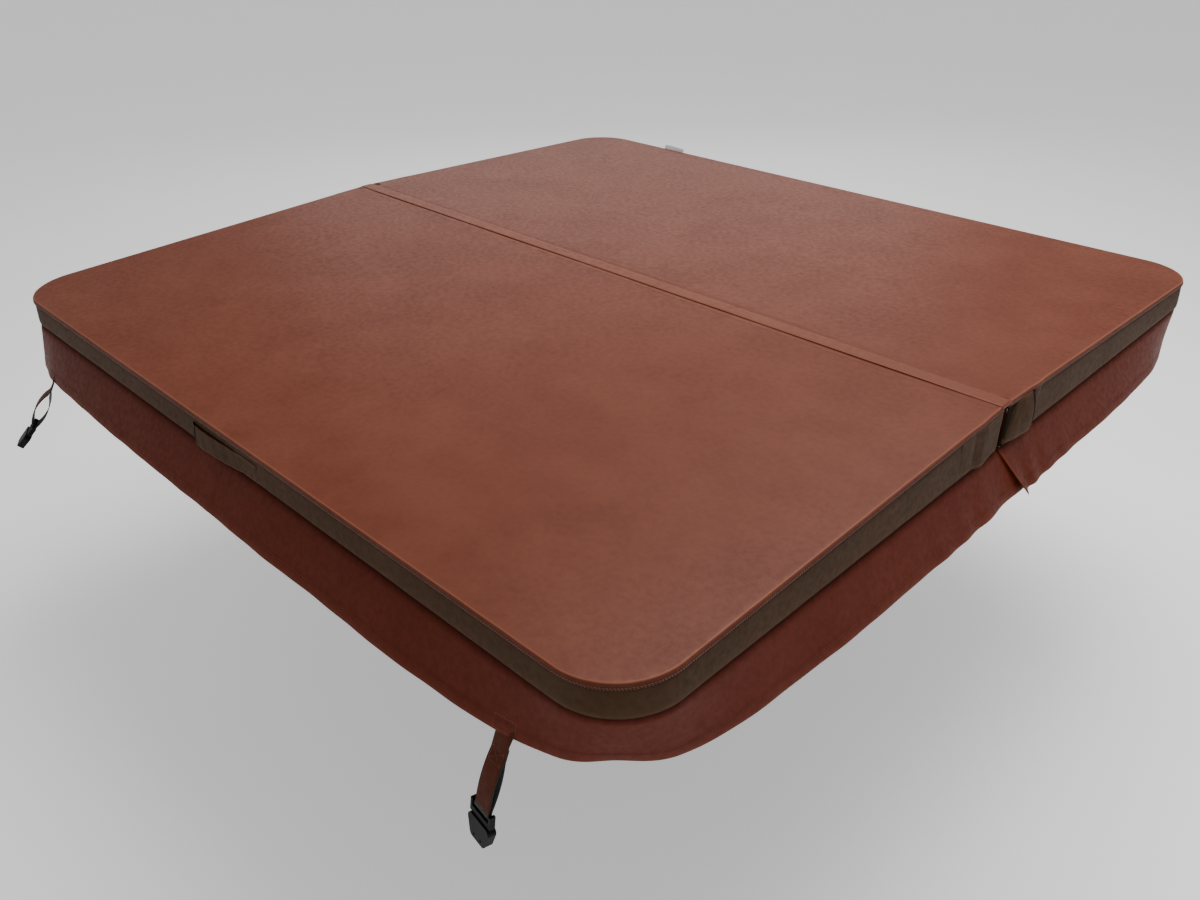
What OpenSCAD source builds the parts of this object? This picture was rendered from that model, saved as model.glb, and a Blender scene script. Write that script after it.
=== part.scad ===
// Folding spa cover: two tapered insulated halves joined by a cloth hinge,
// with a skirt, carrying handles and four lockable tie-down straps.
// Origin: centre of the underside, where the cover rests on the spa rim.
// X runs along the fold, Y across it, Z up. The front half is at -Y.

/* [Cover] */
// Width of the cover along the fold
cover_w = 2050; // [1900:10:2300]
// Length of the cover across the fold
cover_l = 2050; // [1900:10:2300]
// Height of the top panel at the fold
fold_h = 100; // [95:1:115]
// Height of the top panel at the outer edge
edge_h = 65; // [60:1:75]
// Radius of the four outer corners
corner_r = 125; // [110:5:180]
// Gap between the two halves at the fold
fold_gap = 16; // [16:1:20]

/* [Skirt] */
// Length of the skirt from its seam to its hem
skirt_len = 105; // [90:1:120]
// Thickness of the skirt and its turned hem
skirt_t = 2.2; // [1.6:0.1:3]
// How far the hem leans out along the middle of the front and rear edges
edge_lean = 59; // [40:1:66]
// How far the hem leans out along the middle of the two sides
side_lean = 49; // [35:1:56]
// How far the hem leans out at the front left corner
left_corner_lean = 8; // [0:1:14]

/* [Handles] */
// Length of the front and rear grab handles
grab_len = 256; // [220:2:300]
// Length of each handle beside the fold
fold_handle_len = 150; // [130:2:170]

/* [Tie-downs] */
// Distance of each strap from the middle of the cover
strap_x = 815; // [760:5:820]
// Width of the strap webbing
strap_w = 38; // [30:1:38]
// Outward lean of the front right and the two rear straps from vertical
strap_lean = 20; // [10:1:30]
// Outward lean of the front left strap from vertical
lean_front_left = 34; // [25:1:45]

/* [Hidden] */
$fn = 64;

REAR = 1;
FRONT = -1;
RIGHT = 1;
LEFT = -1;
TOP_COLOR = "#7c4b39";
BAND_COLOR = "#58463a";
SKIRT_COLOR = "#55291a";
BLACK = "#1c1d1a";

half_w = cover_w / 2;
half_l = cover_l / 2;
half_gap = fold_gap / 2;
corner_y = half_l - corner_r;
far = cover_w + cover_l;

// Fold hinge: everything on the two halves keeps outside relief_r of its axis
axis_z = fold_h + 1;
relief_r = 18;
strip_t = 2;

// Layers of the cover, each given by its inset from the outline
skin_t = 1.2;
lip_h = 14;
lip_t = 1.4;
band_in = 1.6;
skirt_in = 0.6;
wrap_in = 3.2;
wrap_t = 0.6;
wrap_low = 1.6;
wrap_drop = 2.8;
foam_in = 4;
foam_low = 2.4;
foam_drop = 3.6;
core_relief_r = relief_r + 2.5;
liner_in = 6;

// Steel channel on the fold edge of the foam
channel_y = half_gap + 1.7;
channel_t = 1;
channel_low = 14;
channel_high = 74;
channel_depth = 25;
channel_end = 25;
channel_clear = 0.2;
core_y = channel_y + channel_t + channel_clear;

// Zipper on the underside beside the fold
liner_y = 46;
zip_y = 27;
zip_half_len = half_w - 75;
chain_w = 6;
chain_low = -1.4;
tape_low = 0.2;
tape_t = 1;

// Zip slider, measured from the tape, and its pull
slider_x = zip_half_len - 20;
slider_l = 16;
slider_w = 11;
slider_low = -4;
slider_top = -0.1;
plate_t = 2.3;
cheek_t = 2.1;
lug_l = 6;
lug_w = 4;
lug_half_h = 2.6;
pull_z = -6.4;
pull_w = 8;
pull_arm_l = 8;
pull_arm_w = 1.7;
pull_arm_r = 2;
pull_t = 2;
pull_len = 28;
pin_r = 1.25;
pin_clear = 0.05;

// Steam seal between the fold faces
seal_gap = 0.5;
seal_low = 20;
seal_high = 78;
seal_end = 70;

// Hinge reinforcement under the strip, set in from its ends
tape_half_w = 15;
tape_end = 10;
reinforce_t = 1.6;

// Drain grommets
drain_x = 700;
drain_y = half_l - 70;
drain_r = 4;
grommet_r = 10;
collar_w = 2;
collar_h = 0.3;

// Skirt lean: tucked in at the corners, flared along the edges
corner_lean = -24;
lean_run = 150;
edge_steps = 48;
side_steps = 20;
arc_steps = 16;
corner_run = corner_r * PI / 4;

// Handles
handle_t = 2.4;
handle_tab = 18;
grab_rise = 10;
grab_low = 6;
grab_high = 47;
fold_handle_rise = 14;
fold_handle_low = 8;
fold_handle_high = 79;
fold_handle_start = half_gap + 6;

// Blank care label sewn under the rear edge of the top panel
label_x = -722;
label_w = 84;
label_outline = [[0.2, 0], [1, 0], [2.4, 14], [7, 25], [6.2, 25.4], [1.6, 14.4], [0.2, 2]];

// Patches that hold the straps behind the hem, as fractions of the skirt's length
anchor_top = 0.68;
anchor_low = 1.01;
anchor_gap = 0.8;
anchor_t = 1.6;
anchor_pitch = 11;

// Tie-downs, in the strap's own frame: the pivot is the origin and the strap hangs along -Z
pivot_drop = 7;
web_t = 1.5;
web_top = -3;
flat_end = -30;
bar_z = -129;
bar_r = 2.5;
bar_clear = 3;
loop_z = (flat_end + bar_z) / 2;
loop_half = (flat_end - bar_z) / 2 + 2.5;
facing_t = 1;
facing_gap = 6;
facing_in = 0.4;

// How the tie-downs hang at rest: turn toward their own end, opening of the loop on each side of
// the middle, and bend at the buckle bar; the front left one lies over more than the others
turn_front_left = 28;
turn_front_right = -8;
loop_rise = 5;
rise_front_left = 13;
bar_bend = -12;
bend_front_left = 10;

// Buckle and socket, in the buckle's own frame: the bar is the origin
bar_len = 46;
frame_w = 54;
frame_t = 10;
frame_wall = 5;
frame_top = 6;
frame_low = -18;
frame_rail = 10;
socket_top = -19.5;
socket_low = -61;
socket_w = 57;
socket_low_w = 38;
socket_t = 15;
socket_round = 9;
prong_x = 13;
prong_w = 10;
prong_t = 6;
prong_low = -42;
slot_clear = 0.5;
slot_depth = 3;
screw_x = 9;
screw_z = -53;
screw_r = 2.2;

// ---- Shared geometry ----

// Height of the top surface at distance y from the fold
function top_z(y) = fold_h - (fold_h - edge_h) * y / half_l;

// Turns a rear piece into its front twin
module on_half(side) {
  if (side == REAR) children();
  else mirror([0, 1, 0]) children();
}

// Extrudes a (Y, Z) outline along the fold, centred
module along_fold(length) {
  translate([-length / 2, 0, 0]) rotate([90, 0, 90]) linear_extrude(length) children();
}

// Outline of one half seen from above
module half_outline(inset, y_start) {
  translate([-half_w + inset, y_start]) square([cover_w - 2 * inset, corner_y - y_start]);
  translate([-half_w + corner_r, y_start])
    square([cover_w - 2 * corner_r, half_l - inset - y_start]);
  for (side = [LEFT, RIGHT])
    translate([side * (half_w - corner_r), corner_y]) circle(r = corner_r - inset);
}

// Tapered block of one half between two depths below the top surface
module sloped_slab(inset, y_start, drop, depth) {
  intersection() {
    linear_extrude(fold_h + 1) half_outline(inset, y_start);
    along_fold(far) polygon([
      [0, top_z(0) - depth], [0, top_z(0) - drop],
      [far, top_z(far) - drop], [far, top_z(far) - depth]
    ]);
  }
}

// Tapered block of one half from a flat underside up to a depth below the top surface
module tapered_block(inset, y_start, z_low, drop) {
  intersection() {
    translate([0, 0, z_low]) linear_extrude(fold_h) half_outline(inset, y_start);
    along_fold(far) polygon([
      [0, 0], [0, top_z(0) - drop], [half_l + 10, top_z(half_l + 10) - drop], [half_l + 10, 0]
    ]);
  }
}

// Space kept free round the hinge axis
module hinge_relief(r) {
  translate([0, 0, axis_z]) rotate([0, 90, 0]) cylinder(h = far, r = r, center = true);
}

// ---- Skirt surface ----

// Outward lean of the hem at distance u along the outline from a corner's middle
function lean(u, low, high) = low + (high - low) * u * u / (u * u + lean_run * lean_run);
function lean_slope(u, low, high) =
  (high - low) * 2 * u * lean_run * lean_run / pow(u * u + lean_run * lean_run, 2);

// Lean at the corners of one half
function low_lean(side, end) = side == FRONT && end == LEFT ? left_corner_lean : corner_lean;

// A station is [x, y, outward x, outward y, lean]
function side_station(side, end, y) =
  [end * half_w, y, end, 0,
   lean(corner_run + half_l - corner_r - y, low_lean(side, end), side_lean)];
function edge_station(side, x) =
  [x, half_l, 0, 1,
   lean(corner_run + half_w - corner_r - abs(x), low_lean(side, x < 0 ? LEFT : RIGHT), edge_lean)];
function arc_station(side, end, a) =
  [end * (half_w - corner_r * (1 - cos(a))), half_l - corner_r * (1 - sin(a)),
   end * cos(a), sin(a),
   lean(corner_r * abs(a - 45) * PI / 180, low_lean(side, end), a < 45 ? side_lean : edge_lean)];

// A point on the skirt: fraction f of its length below the seam, at a depth inside its outer face
function skirt_point(s, f, depth) =
  let (out = f * s[4] - skirt_in - depth)
  [s[0] + s[2] * out, s[1] + s[3] * out, -f * sqrt(skirt_len * skirt_len - s[4] * s[4])];

// Stations from the fold round one half and back to the fold
function skirt_stations(side) = concat(
  [for (i = [0 : side_steps - 1])
    side_station(side, RIGHT, half_gap + (corner_y - half_gap) * i / side_steps)],
  [for (i = [0 : arc_steps - 1]) arc_station(side, RIGHT, 90 * i / arc_steps)],
  [for (i = [0 : edge_steps])
    edge_station(side, (half_w - corner_r) * (1 - 2 * i / edge_steps))],
  [for (i = [1 : arc_steps]) arc_station(side, LEFT, 90 * (1 - i / arc_steps))],
  [for (i = [1 : side_steps])
    side_station(side, LEFT, corner_y + (half_gap - corner_y) * i / side_steps)]
);

// A closed sheet over a run of stations
module skirt_sheet(stations, f_top, f_low, depth, thickness) {
  n = len(stations);
  points = [for (s = stations) each [
    skirt_point(s, f_top, depth), skirt_point(s, f_top, depth + thickness),
    skirt_point(s, f_low, depth + thickness), skirt_point(s, f_low, depth)
  ]];
  // The outer and inner faces are split along matching diagonals that end where the hem leans most
  walls = [for (i = [0 : n - 2]) for (k = [0 : 3]) each
    let (a = 4 * i + k, b = 4 * i + (k + 1) % 4, rising = stations[i + 1][4] > stations[i][4])
    (k == 3) == rising ? [[a, b, a + 4], [b, b + 4, a + 4]] : [[a, b, b + 4], [a, b + 4, a + 4]]];
  ends = [[2, 1, 0], [3, 2, 0], [4 * n - 4, 4 * n - 3, 4 * n - 2], [4 * n - 4, 4 * n - 2, 4 * n - 1]];
  polyhedron(points, concat(walls, ends));
}

// ---- Parts of one half ----

module foam_core(side) {
  color("white") on_half(side) difference() {
    tapered_block(foam_in, core_y, foam_low, foam_drop);
    hinge_relief(core_relief_r);
    along_fold(far) for (z = [channel_low, channel_high - channel_t])
      translate([0, z - channel_clear])
        square([core_y + channel_depth + channel_clear, channel_t + 2 * channel_clear]);
  }
}

module vapour_wrap(side) {
  color("lightgray") on_half(side) difference() {
    tapered_block(wrap_in, core_y, wrap_low, wrap_drop);
    tapered_block(wrap_in + wrap_t, 1, wrap_low + wrap_t, wrap_drop + wrap_t);
    hinge_relief(core_relief_r);
  }
}

module stiffener(side) {
  web_h = channel_high - channel_low;
  color("silver") on_half(side) along_fold(cover_w - 2 * channel_end) translate([channel_y, channel_low])
    difference() {
      square([channel_t + channel_depth, web_h]);
      translate([channel_t, channel_t]) square([channel_depth + 1, web_h - 2 * channel_t]);
    }
}

module top_panel(side) {
  color(TOP_COLOR) on_half(side) difference() {
    sloped_slab(0, relief_r, 0, lip_h);
    sloped_slab(lip_t, 1, skin_t, 2 * lip_h);
  }
}

module side_band(side) {
  color(BAND_COLOR) on_half(side) difference() {
    tapered_block(band_in, half_gap, 0, lip_t);
    translate([0, 0, -1]) linear_extrude(2 * fold_h) half_outline(band_in + skin_t, 1);
    hinge_relief(relief_r);
  }
}

module fold_face(side) {
  height = top_z(relief_r) - lip_t;
  color(SKIRT_COLOR) on_half(side) along_fold(cover_w - 2 * (band_in + skin_t)) difference() {
    union() {
      translate([half_gap, 0]) square([skin_t, height]);
      intersection() {
        translate([0, axis_z]) circle(r = relief_r + skin_t);
        translate([half_gap, 0]) square([relief_r, height]);
      }
    }
    translate([0, axis_z]) circle(r = relief_r);
  }
}

module bottom_liner(side) {
  color("dimgray") on_half(side) difference() {
    linear_extrude(skin_t) half_outline(liner_in, liner_y);
    for (x = [-drain_x, drain_x])
      translate([x, drain_y, -1]) cylinder(h = 3, r = grommet_r + 0.2);
  }
}

module zipper_tape(side) {
  color(BLACK) on_half(side) along_fold(cover_w - 2 * liner_in)
    translate([half_gap + skin_t + 0.2, tape_low]) square([liner_y - half_gap - skin_t - 0.4, tape_t]);
}

module zipper_chain(side) {
  color("gray") on_half(side) along_fold(2 * zip_half_len)
    translate([zip_y - chain_w / 2, chain_low]) square([chain_w, tape_low - chain_low]);
}

module skirt(side) {
  color(SKIRT_COLOR) on_half(side) skirt_sheet(skirt_stations(side), 0, 1, 0, skirt_t);
}

module drain_grommets(side) {
  color("goldenrod") on_half(side) for (x = [-drain_x, drain_x])
    translate([x, drain_y, 0]) difference() {
      union() {
        cylinder(h = skin_t, r = grommet_r);
        cylinder(h = skin_t + collar_h, r = drain_r + collar_w);
      }
      translate([0, 0, -1]) cylinder(h = 4, r = drain_r);
    }
}

// A strap sewn flat at both ends and bowed out between them, along X and out along Y
module bowed_strap(length, rise, z_low, z_high) {
  chord = length / 2 - handle_tab;
  r = (chord * chord + rise * rise) / (2 * rise);
  translate([0, 0, z_low]) linear_extrude(z_high - z_low) union() {
    difference() {
      intersection() {
        translate([0, rise - r]) circle(r = r + handle_t, $fn = 180);
        translate([-length / 2, 0]) square([length, rise + handle_t]);
      }
      translate([0, rise - r]) circle(r = r, $fn = 180);
    }
    for (x = [-length / 2, chord]) translate([x, 0]) square([handle_tab, handle_t]);
  }
}

module grab_handle(side) {
  color(BAND_COLOR) on_half(side) translate([0, half_l - band_in, 0])
    bowed_strap(grab_len, grab_rise, grab_low, grab_high);
}

module fold_handle(side, end) {
  color(BAND_COLOR) on_half(side)
    translate([end * (half_w - band_in), fold_handle_start + fold_handle_len / 2, 0])
      rotate([0, 0, -90 * end])
        bowed_strap(fold_handle_len, fold_handle_rise, fold_handle_low, fold_handle_high);
}

// ---- Parts along the fold ----

module hinge_strip() {
  color(TOP_COLOR) along_fold(cover_w) translate([-relief_r + 0.5, axis_z - strip_t])
    square([2 * relief_r - 0.5, strip_t]);
}

module hinge_reinforcement() {
  color(BLACK) along_fold(cover_w - 2 * tape_end)
    translate([-tape_half_w, axis_z - strip_t - reinforce_t])
      square([2 * tape_half_w, reinforce_t]);
}

module steam_seal() {
  color("dimgray") along_fold(cover_w - 2 * seal_end)
    translate([seal_gap - half_gap, seal_low])
      square([fold_gap - seal_gap, seal_high - seal_low]);
}

module care_label() {
  color("gainsboro") translate([label_x, half_l, edge_h - lip_h]) rotate([90, 0, 90])
    linear_extrude(label_w) polygon(label_outline);
}

// ---- Zipper sliders and pulls ----

module zip_slider(side) {
  cheek_h = slider_top - slider_low;
  color("silver") on_half(side) translate([slider_x, zip_y, 0]) difference() {
    union() {
      translate([-slider_l / 2, -slider_w / 2, slider_low]) cube([slider_l, slider_w, plate_t]);
      for (y = [-slider_w / 2, slider_w / 2 - cheek_t])
        translate([-slider_l / 2, y, slider_low]) cube([slider_l, cheek_t, cheek_h]);
      translate([-lug_l / 2, -lug_w / 2, pull_z - lug_half_h])
        cube([lug_l, lug_w, 2 * lug_half_h]);
    }
    translate([0, -slider_w, pull_z]) rotate([-90, 0, 0])
      cylinder(h = 2 * slider_w, r = pin_r + pin_clear);
  }
}

module zip_pull(side) {
  color("silver") on_half(side) translate([slider_x, zip_y, pull_z]) {
    translate([0, -pull_w / 2, 0]) rotate([-90, 0, 0]) cylinder(h = pull_w, r = pin_r);
    for (y = [-pull_w / 2, pull_w / 2 - pull_arm_w]) {
      translate([0, y, 0]) rotate([-90, 0, 0]) cylinder(h = pull_arm_w, r = pull_arm_r);
      translate([-pull_arm_r, y, -pull_arm_l]) cube([2 * pull_arm_r, pull_arm_w, pull_arm_l]);
    }
    translate([-pull_t / 2, -pull_w / 2, -pull_len])
      cube([pull_t, pull_w, pull_len - pull_arm_l + 1]);
  }
}

// ---- Tie-downs ----

strap_u = corner_run + half_w - corner_r - strap_x;
function hem_lean(side, end) = lean(strap_u, low_lean(side, end), edge_lean);

// How each tie-down hangs; the rear ones face the way the hem does
function lies_over(side, end) = side == FRONT && end == LEFT;
function strap_tilt(side, end) = lies_over(side, end) ? lean_front_left : strap_lean;
function strap_turn(side, end) =
  side == REAR ? atan(lean_slope(strap_u, corner_lean, edge_lean))
  : end == LEFT ? turn_front_left : turn_front_right;
function strap_rise(side, end) = lies_over(side, end) ? rise_front_left : loop_rise;
function buckle_bend(side, end) = lies_over(side, end) ? bend_front_left : bar_bend;

// Places a strap on its pivot below the hem
module at_strap(side, end) {
  d = hem_lean(side, end);
  on_half(side)
    translate([
      end * strap_x, half_l - skirt_in - skirt_t / 2 + d,
      -sqrt(skirt_len * skirt_len - d * d) - pivot_drop
    ])
    rotate([0, 0, -end * strap_turn(side, end)]) rotate([strap_tilt(side, end), 0, 0]) children();
}

// Places a buckle or socket on the strap's bar
module at_bar(side, end) {
  at_strap(side, end) translate([0, 0, bar_z]) rotate([buckle_bend(side, end), 0, 0]) children();
}

module across(width) {
  translate([-width / 2, 0, 0]) rotate([90, 0, 90]) linear_extrude(width) children();
}

// Lens shape of the open strap loop, grown by g
module loop_lens(rise, g) {
  r = (loop_half * loop_half + rise * rise) / (2 * rise);
  intersection_for (s = [-1, 1])
    translate([s * (r - rise), loop_z]) circle(r = r + g, $fn = 180);
}

// Outline of the strap seen from its edge, grown by g
module strap_profile(rise, g) {
  translate([-web_t - g, flat_end]) square([2 * (web_t + g), web_top - flat_end]);
  loop_lens(rise, web_t / 2 + g);
  translate([0, bar_z]) circle(r = bar_clear + web_t + g);
}

module strap(side, end) {
  rise = strap_rise(side, end);
  color(BLACK) at_strap(side, end) across(strap_w) difference() {
    strap_profile(rise, 0);
    loop_lens(rise, -web_t / 2);
    translate([0, bar_z]) circle(r = bar_clear);
  }
}

module facing(side, end) {
  rise = strap_rise(side, end);
  low = bar_z + facing_gap;
  color(SKIRT_COLOR) at_strap(side, end) across(strap_w) intersection() {
    difference() {
      strap_profile(rise, facing_t);
      strap_profile(rise, 0);
    }
    translate([facing_in, low]) square([3 * rise, web_top - low]);
  }
}

module anchor(side, end) {
  stations = [for (i = [-2 : 2]) edge_station(side, end * strap_x - anchor_pitch * i)];
  color(SKIRT_COLOR) on_half(side)
    skirt_sheet(stations, anchor_top, anchor_low, skirt_t + anchor_gap, anchor_t);
}

module buckle(side, end) {
  color(BLACK) at_bar(side, end) {
    rotate([0, 90, 0]) cylinder(h = bar_len, r = bar_r, center = true);
    for (x = [-frame_w / 2, frame_w / 2 - frame_wall])
      translate([x, -frame_t / 2, frame_low]) cube([frame_wall, frame_t, frame_top - frame_low]);
    translate([-frame_w / 2, -frame_t / 2, frame_low]) cube([frame_w, frame_t, frame_rail]);
    for (x = [-prong_x, prong_x])
      translate([x - prong_w / 2, -prong_t / 2, prong_low])
        cube([prong_w, prong_t, frame_low - prong_low + 1]);
  }
}

module socket_outline() {
  offset(r = socket_round) offset(delta = -socket_round) polygon([
    [-socket_w / 2, socket_top], [socket_w / 2, socket_top],
    [socket_w / 2, socket_top - socket_round],
    [socket_low_w / 2, socket_low], [-socket_low_w / 2, socket_low],
    [-socket_w / 2, socket_top - socket_round]
  ]);
}

module socket(side, end) {
  slot_w = prong_w + 2 * slot_clear;
  slot_t = prong_t + 2 * slot_clear;
  slot_low = prong_low - slot_depth;
  color(BLACK) at_bar(side, end) difference() {
    translate([0, socket_t / 2, 0]) rotate([90, 0, 0]) linear_extrude(socket_t) socket_outline();
    for (x = [-prong_x, prong_x])
      translate([x - slot_w / 2, -slot_t / 2, slot_low])
        cube([slot_w, slot_t, socket_top - slot_low + 1]);
    for (x = [-screw_x, screw_x])
      translate([x, -socket_t, screw_z]) rotate([-90, 0, 0])
        cylinder(h = 2 * socket_t, r = screw_r);
  }
}

foam_core(REAR);  // rear_foam_core
vapour_wrap(REAR);  // rear_vapour_wrap
stiffener(REAR);  // rear_stiffener
top_panel(REAR);  // rear_top_panel
side_band(REAR);  // rear_side_band
fold_face(REAR);  // rear_fold_face
bottom_liner(REAR);  // rear_bottom_liner
zipper_tape(REAR);  // rear_zipper_tape
zipper_chain(REAR);  // rear_zipper_chain
skirt(REAR);  // rear_skirt
drain_grommets(REAR);  // rear_drain_grommets
grab_handle(REAR);  // rear_grab_handle
fold_handle(REAR, LEFT);  // rear_fold_handle_left
fold_handle(REAR, RIGHT);  // rear_fold_handle_right
anchor(REAR, LEFT);  // rear_left_anchor
anchor(REAR, RIGHT);  // rear_right_anchor
hinge_strip();
hinge_reinforcement();
steam_seal();
care_label();
foam_core(FRONT);  // front_foam_core
vapour_wrap(FRONT);  // front_vapour_wrap
stiffener(FRONT);  // front_stiffener
top_panel(FRONT);  // front_top_panel
side_band(FRONT);  // front_side_band
fold_face(FRONT);  // front_fold_face
bottom_liner(FRONT);  // front_bottom_liner
zipper_tape(FRONT);  // front_zipper_tape
zipper_chain(FRONT);  // front_zipper_chain
skirt(FRONT);  // front_skirt
drain_grommets(FRONT);  // front_drain_grommets
grab_handle(FRONT);  // front_grab_handle
fold_handle(FRONT, LEFT);  // front_fold_handle_left
fold_handle(FRONT, RIGHT);  // front_fold_handle_right
anchor(FRONT, LEFT);  // front_left_anchor
anchor(FRONT, RIGHT);  // front_right_anchor
zip_slider(REAR);  // rear_zip_slider
zip_pull(REAR);  // rear_zip_pull
zip_slider(FRONT);  // front_zip_slider
zip_pull(FRONT);  // front_zip_pull
strap(FRONT, LEFT);  // front_left_strap
facing(FRONT, LEFT);  // front_left_facing
buckle(FRONT, LEFT);  // front_left_buckle
socket(FRONT, LEFT);  // front_left_socket
strap(FRONT, RIGHT);  // front_right_strap
facing(FRONT, RIGHT);  // front_right_facing
buckle(FRONT, RIGHT);  // front_right_buckle
socket(FRONT, RIGHT);  // front_right_socket
strap(REAR, LEFT);  // rear_left_strap
facing(REAR, LEFT);  // rear_left_facing
buckle(REAR, LEFT);  // rear_left_buckle
socket(REAR, LEFT);  // rear_left_socket
strap(REAR, RIGHT);  // rear_right_strap
facing(REAR, RIGHT);  // rear_right_facing
buckle(REAR, RIGHT);  // rear_right_buckle
socket(REAR, RIGHT);  // rear_right_socket
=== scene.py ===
"""The looks of the folding spa cover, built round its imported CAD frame."""

import math

import bmesh
import bpy
import numpy as np
from mathutils import Matrix, Vector


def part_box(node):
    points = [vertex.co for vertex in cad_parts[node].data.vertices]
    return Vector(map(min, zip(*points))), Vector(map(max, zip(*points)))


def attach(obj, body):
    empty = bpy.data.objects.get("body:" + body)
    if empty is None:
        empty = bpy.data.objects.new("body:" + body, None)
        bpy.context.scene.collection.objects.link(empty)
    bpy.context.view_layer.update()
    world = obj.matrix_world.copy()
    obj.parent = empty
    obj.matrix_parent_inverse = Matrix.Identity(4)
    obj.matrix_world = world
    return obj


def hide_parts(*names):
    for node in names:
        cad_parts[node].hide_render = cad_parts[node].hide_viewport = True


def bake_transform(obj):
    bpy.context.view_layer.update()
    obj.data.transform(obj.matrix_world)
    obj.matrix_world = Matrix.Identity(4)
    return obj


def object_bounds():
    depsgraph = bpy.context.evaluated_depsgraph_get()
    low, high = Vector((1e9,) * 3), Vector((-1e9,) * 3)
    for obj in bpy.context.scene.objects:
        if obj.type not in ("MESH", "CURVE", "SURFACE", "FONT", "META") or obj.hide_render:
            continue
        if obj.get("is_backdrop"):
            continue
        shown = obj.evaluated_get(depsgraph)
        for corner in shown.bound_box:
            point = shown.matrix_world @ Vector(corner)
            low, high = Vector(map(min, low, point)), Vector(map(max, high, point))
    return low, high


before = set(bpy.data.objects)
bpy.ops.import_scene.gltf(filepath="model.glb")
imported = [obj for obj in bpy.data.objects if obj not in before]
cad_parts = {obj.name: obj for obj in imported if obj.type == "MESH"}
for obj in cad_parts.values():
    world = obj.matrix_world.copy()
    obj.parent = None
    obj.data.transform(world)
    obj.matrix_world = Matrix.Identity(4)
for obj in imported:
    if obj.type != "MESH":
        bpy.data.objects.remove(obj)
cad_bounds = [list(corner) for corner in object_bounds()]

MM = 0.001
REAR, FRONT = 1, -1
RIGHT, LEFT = 1, -1
HALF_NAME = {REAR: "rear", FRONT: "front"}
END_NAME = {RIGHT: "right", LEFT: "left"}

# Sizes of the CAD part, in metres
HALF_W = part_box("rear_top_panel")[1].x
HALF_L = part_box("rear_top_panel")[1].y
FOLD_H = 0.100
EDGE_H = 0.065
CORNER_R = 0.125
HALF_GAP = 0.008
SKIRT_LEN = 0.105
CORNER_Y = HALF_L - CORNER_R

# Skirt lean, as in the CAD part
EDGE_LEAN = 0.059
SIDE_LEAN = 0.049
CORNER_LEAN = -0.024
LEFT_CORNER_LEAN = 0.008
LEAN_RUN = 0.150
CORNER_RUN = CORNER_R * math.pi / 4

# Shape of the top panel's edge: the radius of its roll, and how far its lip reaches down the side
ROLL_R = 5.0 * MM
LIP_LOW = 10.8 * MM


def top_z(y):
    """Height of the flat taper at distance y from the fold."""
    return FOLD_H - (FOLD_H - EDGE_H) * np.abs(y) / HALF_L


def smooth(t):
    """An eased step from 0 to 1."""
    t = np.clip(t, 0, 1)
    return t * t * (3 - 2 * t)


def unit(v):
    return v / np.maximum(np.linalg.norm(v, axis=-1, keepdims=True), 1e-12)


# ---- Mesh helpers ----


def linked(name, data):
    """A scene object for a mesh, light or camera."""
    obj = bpy.data.objects.new(name, data)
    bpy.context.scene.collection.objects.link(obj)
    return obj


def new_object(name, points, faces, material, flat=False):
    """A mesh piece from an array of points, of any shape, and its faces."""
    mesh = bpy.data.meshes.new(name)
    mesh.from_pydata(np.reshape(points, (-1, 3)).tolist(), [], [tuple(map(int, f)) for f in faces])
    mesh.validate()
    mesh.materials.append(material)
    mesh.polygons.foreach_set("use_smooth", [not flat] * len(mesh.polygons))
    return linked(name, mesh)


def outward(obj):
    """Makes the face normals agree."""
    bm = bmesh.new()
    bm.from_mesh(obj.data)
    bmesh.ops.recalc_face_normals(bm, faces=bm.faces[:])
    bm.to_mesh(obj.data)
    bm.free()
    return obj


def mark(obj, name, values):
    """Stores one number per vertex for the material."""
    attribute = obj.data.attributes.new(name, "FLOAT", "POINT")
    attribute.data.foreach_set("value", np.asarray(values, np.float32))


def loft_faces(rows, columns, wrap_rows=False, wrap_columns=False, start=0):
    """Quads between the points of a rows by columns array."""
    i = np.arange(rows if wrap_rows else rows - 1)
    j = np.arange(columns if wrap_columns else columns - 1)
    i, j = [a.ravel() for a in np.meshgrid(i, j, indexing="ij")]
    i2, j2 = (i + 1) % rows, (j + 1) % columns
    quads = [i * columns + j, i * columns + j2, i2 * columns + j2, i2 * columns + j]
    return (np.stack(quads, 1) + start).tolist()


def border(rows, columns):
    """Indices round the edge of a rows by columns array, along its first row first."""
    return (
        list(range(columns)) + [r * columns + columns - 1 for r in range(1, rows - 1)]
        + [(rows - 1) * columns + c for c in range(columns - 1, -1, -1)]
        + [r * columns for r in range(rows - 2, 0, -1)]
    )


def end_faces(rows, columns):
    """Quads that close the two ends of a flat tube of rows."""
    return [
        [k * columns + c for k in (a, a + 1, b - 1, b)]
        for c in (0, columns - 1)
        for a, b in zip(range(rows // 2), range(rows - 1, 0, -1)) if b - a > 2
    ]


def finished(obj, body, slot, *nodes):
    """Gives a piece its body and hides the CAD nodes that it stands for; slot is not used."""
    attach(obj, body)
    if nodes:
        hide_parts(*nodes)
    return obj


def bridged(obj, node):
    """For a piece that reaches from one body to another: bakes its placing into its mesh and hides the CAD
    node it stands for.
    """
    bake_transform(obj)
    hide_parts(node)
    return obj


def flip(points, side):
    """Turns a rear shape into its front twin."""
    return points * np.array([1, side, 1])


# ---- Materials ----


def linear(code):
    """The linear colour of a hex code."""
    levels = [int(code[i : i + 2], 16) / 255 for i in (1, 3, 5)]
    return [c / 12.92 if c <= 0.04045 else ((c + 0.055) / 1.055) ** 2.4 for c in levels] + [1.0]


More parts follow.
